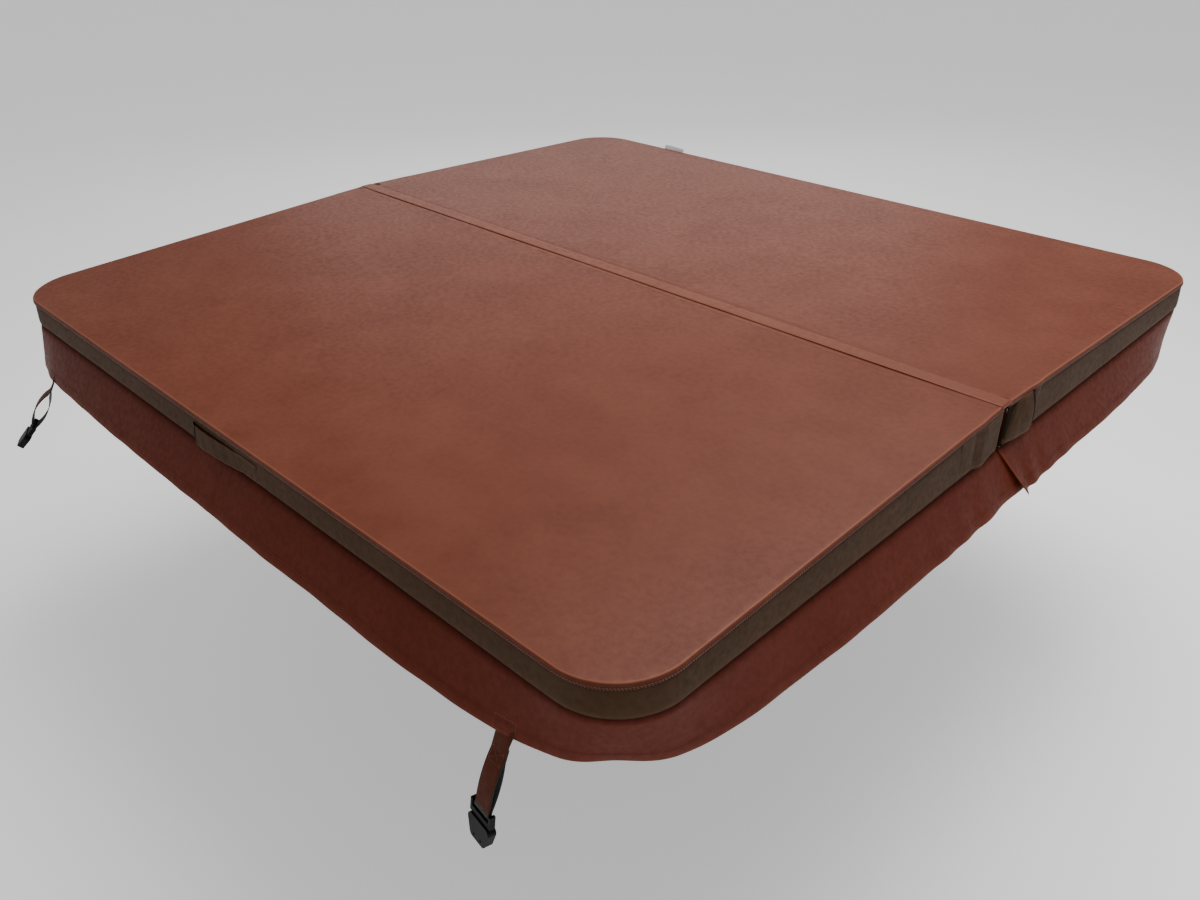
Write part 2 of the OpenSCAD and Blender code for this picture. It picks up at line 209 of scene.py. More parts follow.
class Nodes:
    """A material's node tree, built a node at a time."""

    def __init__(self, name):
        self.material = bpy.data.materials.new(name)
        self.material.use_nodes = True
        self.tree = self.material.node_tree
        self.tree.nodes.clear()
        out = self.add("ShaderNodeOutputMaterial")
        self.shader = self.add("ShaderNodeBsdfPrincipled")
        self.tree.links.new(self.shader.outputs[0], out.inputs["Surface"])
        self.place = self.add("ShaderNodeTexCoord").outputs["Object"]

    def add(self, kind, settings=None, **inputs):
        node = self.tree.nodes.new(kind)
        for key, value in (settings or {}).items():
            setattr(node, key, value)
        for key, value in inputs.items():
            self.set(node, key.replace("_", " "), value)
        return node

    def set(self, node, socket, value):
        target = node.inputs[socket]
        if isinstance(value, bpy.types.NodeSocket):
            self.tree.links.new(value, target)
        else:
            target.default_value = value

    def noise(self, scale, detail=4.0, rough=0.55):
        sizes = {"Scale": scale, "Detail": detail, "Roughness": rough}
        return self.add("ShaderNodeTexNoise", **sizes, Vector=self.place).outputs["Fac"]

    def cells(self, scale):
        edges = {"feature": "DISTANCE_TO_EDGE"}
        return self.add("ShaderNodeTexVoronoi", edges, Scale=scale, Vector=self.place).outputs["Distance"]

    def span(self, value, low, high, to_low, to_high):
        ends = {"From_Min": low, "From_Max": high, "To_Min": to_low, "To_Max": to_high}
        return self.add("ShaderNodeMapRange", Value=value, **ends).outputs[0]

    def mix(self, factor, a, b):
        node = self.add("ShaderNodeMix", {"data_type": "RGBA"})
        self.set(node, 0, factor)
        self.set(node, 6, a)
        self.set(node, 7, b)
        return node.outputs[2]

    def math(self, operation, a, b):
        node = self.add("ShaderNodeMath", {"operation": operation})
        self.set(node, 0, a)
        self.set(node, 1, b)
        return node.outputs[0]

    def mark(self, name):
        return self.add("ShaderNodeAttribute", {"attribute_name": name}).outputs["Fac"]

    def bump(self, height, strength, distance, normal=None):
        node = self.add("ShaderNodeBump", Strength=strength, Distance=distance, Height=height)
        if normal is not None:
            self.set(node, "Normal", normal)
        return node.outputs[0]

    def finish(self, color, roughness, normal=None, **fixed):
        self.set(self.shader, "Base Color", color)
        self.set(self.shader, "Roughness", roughness)
        if normal is not None:
            self.set(self.shader, "Normal", normal)
        for key, value in fixed.items():
            self.set(self.shader, key.replace("_", " "), value)
        return self.material


def vinyl(name, color, deep, pale, rough, shine=0.2, grain_depth=0.10):
    """Grained vinyl: mottled colour, fine leather grain, paler where worn and where a highlight is painted,
    darker where shade is painted.
    """
    n = Nodes(name)
    cloud = n.span(n.noise(7.0, 3.0), 0.35, 0.65, 0.0, 1.0)
    mottle = n.span(n.noise(85.0, 6.0, 0.65), 0.38, 0.66, 0.0, 1.0)
    base = n.mix(n.math("MULTIPLY", mottle, 0.55), linear(color), linear(deep))
    base = n.mix(n.math("MULTIPLY", cloud, 0.08), base, linear(pale))
    # Paler by a per-vertex mark: a little wear, and mostly painted highlights
    base = n.mix(n.mark("wear_and_highlight"), base, linear(pale))
    # Darker towards a near-black tone by a per-vertex mark of painted shade
    shade_tone = [c * 0.22 for c in linear(deep)[:3]] + [1.0]
    painted_shade = n.mark("painted_shade")
    base = n.mix(painted_shade, base, shade_tone)
    grain = n.cells(620.0)
    wrinkle = n.noise(240.0, 5.0, 0.6)
    normal = n.bump(wrinkle, 0.22, 0.0008)
    normal = n.bump(n.span(grain, 0.0, 0.35, 0.0, 1.0), grain_depth, 0.0004, normal)
    gloss = n.span(mottle, 0.0, 1.0, rough - 0.05, rough + 0.07)
    gloss = n.math("ADD", gloss, n.math("MULTIPLY", painted_shade, 0.45))
    return n.finish(base, gloss, normal, Specular_IOR_Level=shine)


def woven(name, color, deep, pitch, rough=0.85, depth=0.6):
    """A plain weave of warp and weft threads."""
    n = Nodes(name)
    waves = []
    for axis in "XY":
        thread = {"bands_direction": axis, "wave_profile": "SIN"}
        wave = n.add("ShaderNodeTexWave", thread, Scale=1 / pitch, Distortion=0.4, Vector=n.place)
        waves.append(wave.outputs["Fac"])
    weave = n.math("MULTIPLY", waves[0], waves[1])
    fuzz = n.noise(30.0, 5.0)
    tone = n.math("ADD", n.math("MULTIPLY", weave, 0.6), n.math("MULTIPLY", fuzz, 0.5))
    return n.finish(
        n.mix(tone, linear(deep), linear(color)), rough, n.bump(weave, depth, 0.0005), Sheen_Weight=0.15
    )


def metal(name, color, rough):
    n = Nodes(name)
    tarnish = n.span(n.noise(160.0, 5.0), 0.3, 0.7, 0.0, 1.0)
    dull = [c * 0.55 for c in linear(color)[:3]] + [1.0]
    normal = n.bump(n.noise(900.0), 0.12, 0.0002)
    return n.finish(
        n.mix(n.math("MULTIPLY", tarnish, 0.5), linear(color), dull),
        n.span(tarnish, 0.0, 1.0, rough, rough + 0.18),
        normal,
        Metallic=1.0,
    )


def plastic(name, color, rough, depth=0.2, scale=1400.0):
    n = Nodes(name)
    speck = n.noise(scale, 4.0)
    scuff = n.span(n.noise(60.0, 6.0, 0.7), 0.52, 0.7, 0.0, 1.0)
    pale = [min(1.0, c * 2.2 + 0.01) for c in linear(color)[:3]] + [1.0]
    return n.finish(
        n.mix(n.math("MULTIPLY", scuff, 0.35), linear(color), pale),
        n.span(scuff, 0.0, 1.0, rough, rough + 0.15),
        n.bump(speck, depth, 0.0003),
        Specular_IOR_Level=0.12,
    )


TOP = vinyl("top_vinyl_look", "#672e18", "#582412", "#a5684f", 0.42, 0.18)
BAND = vinyl("band_vinyl_look", "#45301f", "#372517", "#6a4c36", 0.62, 0.07)
SKIRT = vinyl("skirt_vinyl_look", "#5e200d", "#4a1809", "#843f27", 0.5, 0.1)
STRAP = vinyl("strap_vinyl_look", "#4f1f0b", "#3d1707", "#6a3827", 0.55, 0.08)
THREAD = woven("thread_look", "#b07a5e", "#8a5842", 0.0009, 0.7)
DARK_THREAD = woven("dark_thread_look", "#4a2c20", "#2b1811", 0.0009, 0.7)
LINER = woven("liner_look", "#54575b", "#3c3f43", 0.0022, 0.9)
WEBBING = woven("webbing_look", "#1b1b19", "#0c0c0b", 0.0016, 0.8, 0.9)
LABEL = woven("label_look", "#dcdfe3", "#c3c6cd", 0.0008, 0.75, 0.3)
STEEL = metal("steel_look", "#b4b6b8", 0.32)
BRASS = metal("brass_look", "#c19a4a", 0.34)
NYLON = plastic("nylon_look", "#050604", 0.5)
FOAM = plastic("foam_look", "#ecece8", 0.85, 0.5, 260.0)
FILM = plastic("film_look", "#cdd1d3", 0.2, 0.5, 90.0)

for half in HALF_NAME.values():
    for part, look in (("foam_core", FOAM), ("vapour_wrap", FILM), ("stiffener", STEEL)):
        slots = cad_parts[f"{half}_{part}"].data.materials
        slots.clear()
        slots.append(look)


# ---- Outline of one half ----

# Rows beside the fold, where the handles press on the band, by distance from the fold's round corner
NEAR_FOLD = np.array([4, 9, 15, 23, 32, 42, 54, 68]) * MM


class Outline:
    """A half's outline seen from above: rows from the fold to the outer edge, each mirrored in X."""

    def __init__(self, y_start=HALF_GAP, fold_r=8 * MM, rows=44, columns=72):
        self.fold_r, self.y_start = fold_r, y_start
        small = np.linspace(-90, 0, 7)
        large = np.linspace(0, 90, 25)
        near_fold = y_start + fold_r + NEAR_FOLD
        sides = np.concatenate([near_fold, np.linspace(near_fold[-1], CORNER_Y, rows)[1:-1]])
        self.angle = np.radians(np.concatenate([small, np.zeros(len(sides)), large]))
        self.kind = np.array([0] * len(small) + [1] * len(sides) + [2] * len(large))
        self.y_side = np.concatenate([[y_start + fold_r] * len(small), sides, [CORNER_Y] * len(large)])
        self.across = np.linspace(-1, 1, columns + 1)
        self.rows, self.columns = len(self.kind), columns + 1

    def row_ends(self, inset):
        """(x, y) of each row's right end on the outline set in by inset."""
        r = np.where(self.kind == 0, self.fold_r, CORNER_R)
        bent = self.kind != 1
        x = np.where(bent, HALF_W - r + (r - inset) * np.cos(self.angle), HALF_W - inset)
        y = self.y_side + np.where(bent, (r - inset) * np.sin(self.angle), 0)
        return x, y

    def normals(self):
        """Outward directions at the rows' right ends."""
        return np.cos(self.angle), np.where(self.kind == 1, 0, np.sin(self.angle))

    def loop(self, inset):
        """Points of the closed outline set in by inset, in order, and their outward directions."""
        points = self.grid(inset).reshape(-1, 2)[border(self.rows, self.columns)]
        right = np.stack(self.normals(), 1)[1:-1]
        end = np.tile([0.0, 1.0], (self.columns, 1))
        return points, np.concatenate([-end, right, end, (right * [-1, 1])[::-1]])

    def grid(self, inset):
        """Points of the area inside the outline, rows by columns."""
        x, y = self.row_ends(inset)
        return np.stack([x[:, None] * self.across[None], np.tile(y[:, None], (1, self.columns))], 2)


def run_length(points):
    """Distance along a path at each of its points."""
    return np.concatenate([[0], np.cumsum(np.linalg.norm(np.diff(points, axis=0), axis=1))])


CROWN = 2.2 * MM
SLACK = 0.5 * MM
# The groove along the hinge strip's edge: its depth, distance from the fold, and half width
GROOVE, GROOVE_AT, GROOVE_HALF = 1.0 * MM, 19 * MM, 7 * MM


def swell(x, y):
    """How far the top surface stands above its flat taper."""
    middle = (y - 0.5 * HALF_L) / (0.5 * HALF_L)
    crown = CROWN * (1 - (x / HALF_W) ** 4) * (1 - middle**4)
    broad = np.sin(5.3 * x + 1.1) * np.sin(4.7 * y + 0.4)
    fine = 0.5 * np.sin(12.1 * x + 2.0) * np.sin(9.7 * y + 1.0)
    groove = GROOVE * np.exp(-(((y - GROOVE_AT) / GROOVE_HALF) ** 2))
    return crown + SLACK * (broad + fine) - groove


# The bulge beside each fold handle: its distance from the fold, half width and height
BULGE_AT = {REAR: 0.132, FRONT: 0.092}
BULGE_HALF = 21 * MM
BULGE = 2.0 * MM


def bulge(side, xy):
    """How far the handle beside the fold pushes the edge of the top out."""
    beside = np.exp(-(((xy[:, 1] - BULGE_AT[side]) / BULGE_HALF) ** 2))
    return BULGE * beside * (np.abs(xy[:, 0]) > HALF_W - 40 * MM)


def shell(name, outline, profile, surface, side, material, pucker=0.0, wear_and_highlight=None, painted_shade=None):
    """A skin over one half: rings of (inset, height) round its edge, then the area inside them."""
    rings = []
    base, _ = outline.loop(0)
    s = run_length(np.vstack([base, base[:1]]))[:-1]
    ripple = np.sin(s / 0.0052) * (0.6 + 0.4 * np.sin(s / 0.071)) + 0.7 * np.sin(s / 0.0137 + 1.0)
    for k, (inset, height) in enumerate(profile):
        xy, out = outline.loop(inset)
        z = surface(xy[:, 0], xy[:, 1]) + height
        lift = pucker * math.sin(math.pi * min(1, k / (len(profile) - 1)))
        push = ripple * lift + bulge(side, xy) * smooth((12 * MM - inset) / (12 * MM))
        xy = xy + out * push[:, None]
        rings.append(np.column_stack([xy, z]))
    flat = outline.grid(profile[-1][0]).reshape(-1, 2)
    index = border(outline.rows, outline.columns)
    z = surface(flat[:, 0], flat[:, 1]) + profile[-1][1]
    z[index] = rings[-1][:, 2]
    flat = np.column_stack([flat, z])
    n, k = len(base), len(profile)
    points = np.concatenate([np.concatenate(rings[:-1]), flat])
    faces = loft_faces(k - 1, n, wrap_columns=True)
    start = (k - 1) * n
    last = (k - 2) * n
    for i in range(n):
        j = (i + 1) % n
        faces.append([last + i, last + j, start + index[j], start + index[i]])
    faces += loft_faces(outline.rows, outline.columns, start=start)
    obj = outward(new_object(name, flip(points, side), faces, material))
    for kind, levels in (("wear_and_highlight", wear_and_highlight), ("painted_shade", painted_shade)):
        if levels:
            mark(obj, kind, np.concatenate([np.repeat(levels[: k - 1], n), np.zeros(len(flat))]))
    return obj


# Pitch, length and width of the usual stitch, in mm, and its height and lift in metres
STITCH = (6.0, 4.2, 0.7)
STITCH_H = 0.45 * MM
STITCH_LIFT = 0.1 * MM


def along_path(at, s, values):
    """The values given at distances s along a path, read off at other distances."""
    return np.stack([np.interp(at, s, values[:, i]) for i in range(3)], 1)


def dashes(path, normals, sizes):
    """Sewn stitches along a path, as one point array and its faces. normals may be one direction."""
    pitch, length, width = np.array(sizes) * MM
    normals = np.broadcast_to(normals, path.shape)
    s = run_length(path)
    count = max(1, int(s[-1] / pitch))
    at = (np.arange(count) + 0.5) * s[-1] / count
    d = unit(along_path(at + 0.5 * length, s, path) - along_path(at - 0.5 * length, s, path))
    n = unit(along_path(at, s, normals))
    across = np.cross(d, n)
    c = along_path(at, s, path) + n * STITCH_LIFT
    ring = [
        c - d * length / 2 - n * STITCH_H * 0.6, c - d * length / 4 + n * STITCH_H * 0.7,
        c + d * length / 4 + n * STITCH_H * 0.7, c + d * length / 2 - n * STITCH_H * 0.6,
        c + across * width / 2, c - across * width / 2,
    ]
    points = np.stack(ring, 1).reshape(-1, 3)
    one = np.array([[0, 1, 4], [1, 2, 4], [2, 3, 4], [0, 5, 1], [1, 5, 2], [2, 5, 3]])
    faces = (one[None] + 6 * np.arange(count)[:, None, None]).reshape(-1, 3)
    return points, faces


def stitches(name, lines, body, slot, sizes=STITCH, material=THREAD):
    """One piece of sewn stitches along several (path, normals) lines."""
    points, faces, start = [], [], 0
    for path, normals in lines:
        p, f = dashes(path, normals, sizes)
        points.append(p)
        faces.append(f + start)
        start += len(p)
    obj = new_object(name, np.concatenate(points), np.concatenate(faces), material)
    return finished(obj, body, slot)


# ---- Top panels ----

TOP_OUTLINE = Outline()
# Rings of (inset, height) from under the lip, round the roll and onto the flat
turns = np.radians(np.linspace(180, 90, 10))
TOP_PROFILE = [
    (3.4 * MM, -LIP_LOW + 1.6 * MM), (2.0 * MM, -LIP_LOW + 0.1 * MM), (0.7 * MM, -LIP_LOW),
    (-0.5 * MM, -LIP_LOW + 1.0 * MM), (-0.7 * MM, -LIP_LOW + 2.6 * MM), (0.1 * MM, -LIP_LOW + 4.2 * MM),
] + [(ROLL_R * (1 + math.cos(a)), ROLL_R * (math.sin(a) - 1)) for a in turns] + [
    (13 * MM, 0.0), (19 * MM, 0.0), (28 * MM, 0.0)
]
# One value for each ring: painted highlight along the top of the roll, and painted shade on the lip and
# under it
TOP_HIGHLIGHT = [0, 0, 0, 0, 0, 0, 0, 0, 0, 0, 0.08, 0.3, 0.55, 0.45, 0.18, 0.04, 0, 0, 0]
TOP_SHADE = [0.8, 0.65, 0.5, 0.42, 0.4, 0.42, 0.42, 0.38, 0.3, 0.18, 0.06, 0, 0, 0, 0, 0, 0, 0, 0]


def top_surface(x, y):
    """Height of the top, flat at its edge and crowned inside."""
    near_edge = np.minimum(HALF_W - np.abs(x), HALF_L - y)
    return top_z(y) + swell(x, y) * smooth(near_edge / 0.10)


for side, half in HALF_NAME.items():
    top = shell(
        f"{half}_top_skin", TOP_OUTLINE, TOP_PROFILE, top_surface, side, TOP, 0.16 * MM, TOP_HIGHLIGHT, TOP_SHADE
    )
    finished(top, f"{half}_half", "top_vinyl", f"{half}_top_panel")


# ---- Side bands ----


def side_run(outline, inset, wrap=22 * MM):
    """The three outer sides of a loop, with a little of the fold face at each end."""
    xy, out = outline.loop(inset)
    c = outline.columns
    ring = np.roll(np.column_stack([xy, out]), -(c - 1), axis=0)[: len(xy) - c + 2]
    first, last = ring[0].copy(), ring[-1].copy()
    first[0] -= wrap
    last[0] += wrap
    ring = np.vstack([first, ring, last])
    return ring[:, :2], ring[:, 2:]


# The band's skin starts this far below the top's surface
BAND_TOP = 7 * MM
# Its rings: inset in mm, and share of the height from top to bottom
BAND_LEVELS = [
    (2.0, 0.0), (1.7, 0.08), (1.3, 0.2), (0.8, 0.36), (0.3, 0.54), (-0.2, 0.7), (-0.5, 0.82), (-0.4, 0.9),
    (0.2, 0.95), (1.6, 0.985), (5.5, 1.0),
]
BAND_WEAR = [0, 0, 0, 0, 0, 0.04, 0.1, 0.22, 0.15, 0, 0]
# Painted shade under the top's lip and in the seam with the skirt, one value for each ring
BAND_SHADE = [0.8, 0.35, 0.05, 0, 0, 0, 0, 0, 0.3, 0.8, 1]
# The painted shade in the notch beside the fold on the rear half: its strength, and its reach at the bottom
# and the top
NOTCH_SHADE = 0.85
NOTCH_LOW, NOTCH_HIGH = 12 * MM, 58 * MM
# The vinyl on the fold side stops short of the sides and the top, where the band and the strip take over
FACE_SIDE, FACE_TOP = 5 * MM, 6 * MM


def band_dent(s, y):
    """Slack in the band, by distance along it."""
    return 0.5 * MM * np.sin(s / 0.043 + 0.7) * np.sin(s / 0.19) + 0.35 * MM * np.sin(s / 0.021 + 2.0 * y)


for side, half in HALF_NAME.items():
    rings = []
    base, _ = side_run(TOP_OUTLINE, 0)
    s = run_length(base)
    for inset, share in BAND_LEVELS:
        xy, out = side_run(TOP_OUTLINE, inset * MM)
        dent = band_dent(s, base[:, 1]) * math.sin(math.pi * min(1.0, share)) ** 0.5
        xy = xy + out * dent[:, None]
        z = (top_z(base[:, 1]) - BAND_TOP) * (1 - share) + 0.6 * MM * share
        rings.append(np.column_stack([xy, z]))
    rings = np.array(rings)
    band = new_object(
        f"{half}_band_skin", flip(rings, side), loft_faces(len(rings), len(base)), BAND
    )
    outward(band)
    mark(band, "wear_and_highlight", np.repeat(BAND_WEAR, len(base)))
    # Painted shade: under the lip, in the seam with the skirt, and a wedge in the notch beside the fold on
    # the rear half
    share = np.array(BAND_LEVELS)[:, 1:]
    reach = NOTCH_LOW + (NOTCH_HIGH - NOTCH_LOW) * (1 - share) ** 1.4
    notch = NOTCH_SHADE * (1 - smooth((base[None, :, 1] - reach) / (12 * MM))) * (side == REAR)
    mark(band, "painted_shade", np.maximum(np.array(BAND_SHADE)[:, None], notch).ravel())
    finished(band, f"{half}_half", "band_vinyl", f"{half}_side_band")
    # Two thread lines, just under the top panel's lip and on it
    lines = []
    for inset, height in ((1.0 * MM, -1.6 * MM), (-0.55 * MM, 3.1 * MM)):
        xy, out = side_run(TOP_OUTLINE, inset, 0.0)
        line = np.column_stack([xy, top_z(xy[:, 1]) - LIP_LOW + height])
        lines.append((flip(line, side), flip(np.column_stack([out, np.zeros(len(out))]), side)))
    stitches(f"{half}_lip_stitches", lines, f"{half}_half", "top_vinyl", (5, 4.1, 0.9))
    # The vinyl on the fold side
    x = np.linspace(-1, 1, 90)[None] * (HALF_W - FACE_SIDE)
    z = np.linspace(0.5 * MM, FOLD_H - FACE_TOP, 14)[:, None]
    puff = 0.5 * MM * np.sin(9 * x) * np.sin(40 * z) + 0.6 * MM * (1 - (2 * z / FOLD_H - 1) ** 4)
    y = HALF_GAP + 0.9 * MM - puff
    grid = np.stack([x + 0 * z, y, z + 0 * x], 2)
    face = new_object(f"{half}_fold_skin", flip(grid, side), loft_faces(14, 90), SKIRT)
    outward(face)
    finished(face, f"{half}_half", "skirt_vinyl", f"{half}_fold_face")


# ---- Skirts ----

SIDE_STEPS, ARC_STEPS, EDGE_STEPS = 149, 40, 280


def lean(u, low, high):
    """Outward lean of the hem at distance u along the outline from a corner's middle."""
    return low + (high - low) * u * u / (u * u + LEAN_RUN * LEAN_RUN)


def skirt_stations(side):
    """Arrays x, y, outward x and y, lean, and distance along the seam, round one half."""
    low = {
        end: LEFT_CORNER_LEAN if side == FRONT and end == LEFT else CORNER_LEAN for end in (LEFT, RIGHT)
    }
    rows = []
    for y in np.linspace(HALF_GAP, CORNER_Y, SIDE_STEPS + 1)[:-1]:
        rows.append((HALF_W, y, 1, 0, lean(CORNER_RUN + CORNER_Y - y, low[RIGHT], SIDE_LEAN)))
    for a in np.radians(np.linspace(0, 90, ARC_STEPS + 1)[:-1]):
        u, high = CORNER_R * abs(a - math.pi / 4), SIDE_LEAN if a < math.pi / 4 else EDGE_LEAN
        x, y = HALF_W - CORNER_R * (1 - math.cos(a)), HALF_L - CORNER_R * (1 - math.sin(a))
        rows.append((x, y, math.cos(a), math.sin(a), lean(u, low[RIGHT], high)))
    right = np.array(rows)
    left = right[::-1] * np.array([-1, 1, -1, 1, 1])
    if low[LEFT] != low[RIGHT]:
        high = np.where(np.arange(len(rows))[::-1] < SIDE_STEPS + ARC_STEPS / 2, SIDE_LEAN, EDGE_LEAN)
        share = (left[:, 4] - CORNER_LEAN) / (high - CORNER_LEAN)
        left[:, 4] = low[LEFT] + (high - low[LEFT]) * share
    edge = []
    for x in np.linspace(HALF_W - CORNER_R, -(HALF_W - CORNER_R), EDGE_STEPS + 1):
        u = CORNER_RUN + HALF_W - CORNER_R - abs(x)
        edge.append((x, HALF_L, 0, 1, lean(u, low[LEFT if x < 0 else RIGHT], EDGE_LEAN)))
    table = np.vstack([right, np.array(edge), left])
    return table, run_length(table[:, :2])


def ripples(side, s, table):
    """Waves in the skirt: broad everywhere, sharper beside the fold and at the front left corner."""
    from_fold = np.abs(table[:, 1]) - HALF_GAP
    at_fold = np.exp(-((from_fold / 0.17) ** 2))
    wave = 1.6 * MM * np.sin(s / 0.062 + 0.5) * np.sin(s / 0.31 + side) + 0.3 * MM * np.sin(s / 0.0165)
    wave += 0.6 * MM * np.sin(s / 0.0343 + 1.2) * np.sin(s / 0.13)
    wave += at_fold * 2.8 * MM * np.sin(from_fold / 0.0125 + 0.9)
    if side == FRONT:
        corner = np.hypot(table[:, 0] + HALF_W, table[:, 1] - HALF_L)
        wave += 1.8 * MM * np.exp(-((corner / 0.2) ** 2)) * np.sin(s / 0.0185)
    return wave


SKIRT_T = 1.0 * MM
# Where the turned hem starts, as a share of the skirt's length, and how far it stands out and in
HEM_AT = 1 - 21 * MM / SKIRT_LEN
HEM_RISE, HEM_BACK = 0.25 * MM, 0.7 * MM
SKIRT_LEVELS = np.array(
    [0, 0.03, 0.07, 0.14, 0.23, 0.33, 0.44, 0.55, 0.65, 0.74, 0.79, 0.805, 0.86, 0.93, 0.985]
)
# The skirt's upper end is tucked in under the band, over this share of its length
TUCK, TUCK_RUN = 4.0 * MM, 0.09
# Beside the fold the free edges slant and flare over this distance: the front skirt laps inside the rear one
FREE_RUN = 0.13
EDGE_SLANT = {REAR: 47 * MM, FRONT: -78 * MM}
EDGE_START = {REAR: -7 * MM, FRONT: -20 * MM}
EDGE_FLARE = {REAR: (0.6 * MM, 9 * MM), FRONT: (-2.2 * MM, -7 * MM)}
# Depth of thread lying on the hem
THREAD_DEPTH = -0.32 * MM


def skirt_surface(side, table, s, f, depth):
    """The skirt's points at fraction f of its length, depth inside its outer face."""
    d = table[:, 4]
    near = np.clip(1 - (table[:, 1] - HALF_GAP) / FREE_RUN, 0, 1) ** 2
    curl = near**3 if side == REAR else near
    flare = EDGE_FLARE[side][0] * near + EDGE_FLARE[side][1] * curl * f**1.5
    wave = ripples(side, s, table) * f**1.2
    tucked = 1 - smooth(f / TUCK_RUN)
    out = f * d - TUCK * tucked - 0.9 * MM - depth + wave + flare
    drop = -f * np.sqrt(SKIRT_LEN**2 - d * d) + 2.4 * MM * tucked - 0.6 * MM
    drop -= 1.5 * MM * curl * f**3 * (side == REAR)
    y = table[:, 1] + near * (EDGE_START[side] + EDGE_SLANT[side] * f)
    return np.column_stack([table[:, 0] + table[:, 2] * out, y + table[:, 3] * out, drop])


skirt_data = {}
for side, half in HALF_NAME.items():
    table, s = skirt_stations(side)
    skirt_data[side] = (table, s)
    in_hem = SKIRT_LEVELS > HEM_AT + 0.004
    outer = [
        skirt_surface(side, table, s, f, -HEM_RISE * turned) for f, turned in zip(SKIRT_LEVELS, in_hem)
    ]
    tip = skirt_surface(side, table, s, 1.0, 0.45 * MM)
    inner = [
        skirt_surface(side, table, s, f, SKIRT_T + HEM_BACK * turned)
        for f, turned in zip(SKIRT_LEVELS[::-1], in_hem[::-1])
    ]
    rings = np.array(outer + [tip] + inner)
    n = len(table)
    faces = loft_faces(len(rings), n, wrap_rows=True) + end_faces(len(rings), n)
    skirt = outward(new_object(f"{half}_skirt_sheet", flip(rings, side), faces, SKIRT))
    # Painted highlight where the hem's fold catches the light, and more where the free edges beside the fold
    # do
    wear_and_highlight = np.zeros((len(rings), n))
    wear_and_highlight[len(outer) - 2 : len(outer) + 3] = 0.1
    wear_and_highlight[:, :2] = wear_and_highlight[:, -2:] = 0.4
    mark(skirt, "wear_and_highlight", wear_and_highlight.ravel())
    # Painted shade at the skirt's top, where it tucks in under the band
    painted_shade = np.zeros((len(rings), n))
    painted_shade[0], painted_shade[1], painted_shade[2] = 1, 0.7, 0.2
    mark(skirt, "painted_shade", painted_shade.ravel())
    finished(skirt, f"{half}_half", "skirt_vinyl", f"{half}_skirt")
    hem_line = skirt_surface(side, table, s, HEM_AT + 0.03, THREAD_DEPTH)
    seam_out = np.column_stack([table[:, 2], table[:, 3], np.zeros(n)])
    stitches(
        f"{half}_hem_stitches", [(flip(hem_line, side), flip(seam_out, side))], f"{half}_half",
        "skirt_vinyl", (6, 4.6, 0.7), DARK_THREAD,
    )


# ---- Underside ----

LINER_OUTLINE = Outline(y_start=0.046, fold_r=3 * MM, rows=36, columns=60)
LINER_PROFILE = [(5.0 * MM, 1.6 * MM), (5.2 * MM, 0.5 * MM), (6.4 * MM, -0.1 * MM), (16 * MM, 0.1 * MM),
                 (17 * MM, 0.5 * MM), (19 * MM, 0.4 * MM)]


def liner_surface(x, y):
    """Height of the liner, slightly uneven."""
    return 0.35 * MM * np.sin(7 * x + 1.0) * np.sin(8 * y)


for side, half in HALF_NAME.items():
    liner = shell(f"{half}_liner_skin", LINER_OUTLINE, LINER_PROFILE, liner_surface, side, LINER)
    finished(liner, f"{half}_half", "liner_fabric", f"{half}_bottom_liner")
    xy, _ = LINER_OUTLINE.loop(15 * MM)
    line = flip(np.column_stack([xy, np.full(len(xy), -0.1 * MM)]), side)
    lines = [(line, [0, 0, -1])]
    stitches(f"{half}_liner_stitches", lines, f"{half}_half", "liner_fabric", material=DARK_THREAD)


# ---- Ribbons: webbing, handles, facings and tapes ----


def ribbon(name, centre, across, width, thickness, material):
    """A flat strap along centre, its width along across, with rounded long edges."""
    centre, across = np.asarray(centre, float), unit(np.asarray(across, float))
    along = unit(np.gradient(centre, axis=0))
    across = unit(across - along * (across * along).sum(1)[:, None])
    normal = np.cross(along, across)
    w, t = width / 2, thickness / 2
    right = [(w / 2, t), (w - t, t), (w - 0.4 * t, 0.85 * t), (w, 0.3 * t)]
    upper = np.array([(-a, b) for a, b in right[::-1]] + [(0, t)] + right)
    section = np.roll(np.vstack([upper, -upper]), 1, axis=0)
    rings = (
        centre[:, None] + across[:, None] * section[None, :, :1] + normal[:, None] * section[None, :, 1:]
    )
    k, m = rings.shape[:2]
    faces = loft_faces(k, m, wrap_columns=True)
    faces += [list(range(m)), list(range((k - 1) * m, k * m))[::-1]]
    return outward(new_object(name, rings, faces, material))


# The handles are measured from this far inside the CAD band's face
BAND_IN = 1.6 * MM
# Distance from the fold, standing out from the band, and height of the lower edge, in mm
FOLD_STRAP = {
    REAR: [
        (9, -1.5, 13), (11, 1.0, 10), (22, 4.0, 9), (40, 8.0, 8), (62, 11.6, 8), (84, 14.6, 9),
        (98, 15.8, 10), (106, 15.2, 11), (111, 12.8, 12), (114, 8.8, 13), (116, 4.8, 13), (119, 1.4, 13),
        (125, 0.3, 13), (150, 0.2, 13), (153, -1.6, 13),
    ],
    FRONT: [
        (9, -1.5, 11), (11, 0.6, 9), (30, 1.4, 8), (50, 3.8, 6), (70, 7.0, 4), (86, 7.2, 4), (100, 4.0, 6),
        (110, 1.0, 8), (114, 0.4, 9), (122, 2.0, 9), (136, 2.8, 9), (150, 1.4, 10), (158, 0.2, 10),
        (161, -1.6, 10),
    ],
}
